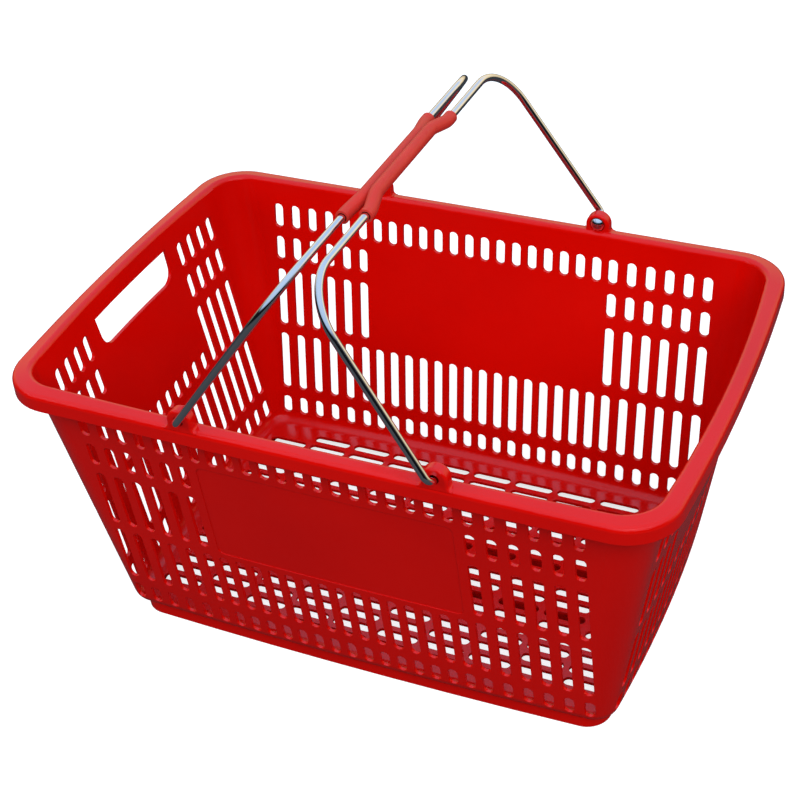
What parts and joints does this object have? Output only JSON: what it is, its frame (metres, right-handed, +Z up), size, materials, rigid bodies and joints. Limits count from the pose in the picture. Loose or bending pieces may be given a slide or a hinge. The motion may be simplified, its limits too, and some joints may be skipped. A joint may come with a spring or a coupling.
{
  "type": "hand shopping basket",
  "caption": "Moulded plastic hand basket with slotted walls and floor, hand holes in both ends and folding chromed wire handles with grip sleeves.",
  "frame": {"origin": "under the middle of the basket, on the surface it stands on", "axes": "+X along the basket's length, +Y across its width, from the side with the front caps to the side with the back caps, +Z up"},
  "size_m": [0.4464, 0.3156, 0.3341],
  "materials": {
    "basket_red": "glossy injection moulded polypropylene",
    "chrome_wire": "bright plated steel wire",
    "chrome_cap": "bright plated steel",
    "grip_red": "satin flexible vinyl"
  },
  "bodies": {
    "basket": {"basket_body": "basket_red"},
    "handle_left": {"handle_wire_left": "chrome_wire", "grip_sleeve_left": "grip_red", "end_cap_left_front": "chrome_cap", "end_cap_left_back": "chrome_cap"},
    "handle_right": {"handle_wire_right": "chrome_wire", "grip_sleeve_right": "grip_red", "end_cap_right_front": "chrome_cap", "end_cap_right_back": "chrome_cap"}
  },
  "joints": [
    {"name": "handle_left_swing", "type": "hinge", "parent": "basket", "child": "handle_left", "pos_m": [-0.0825, 0, 0.2174], "axis": [0, 1, 0], "range_deg": [-126.4, 0]},
    {"name": "handle_right_swing", "type": "hinge", "parent": "basket", "child": "handle_right", "pos_m": [0.0825, 0, 0.2174], "axis": [0, 1, 0], "range_deg": [0, 123.5]}
  ]
}
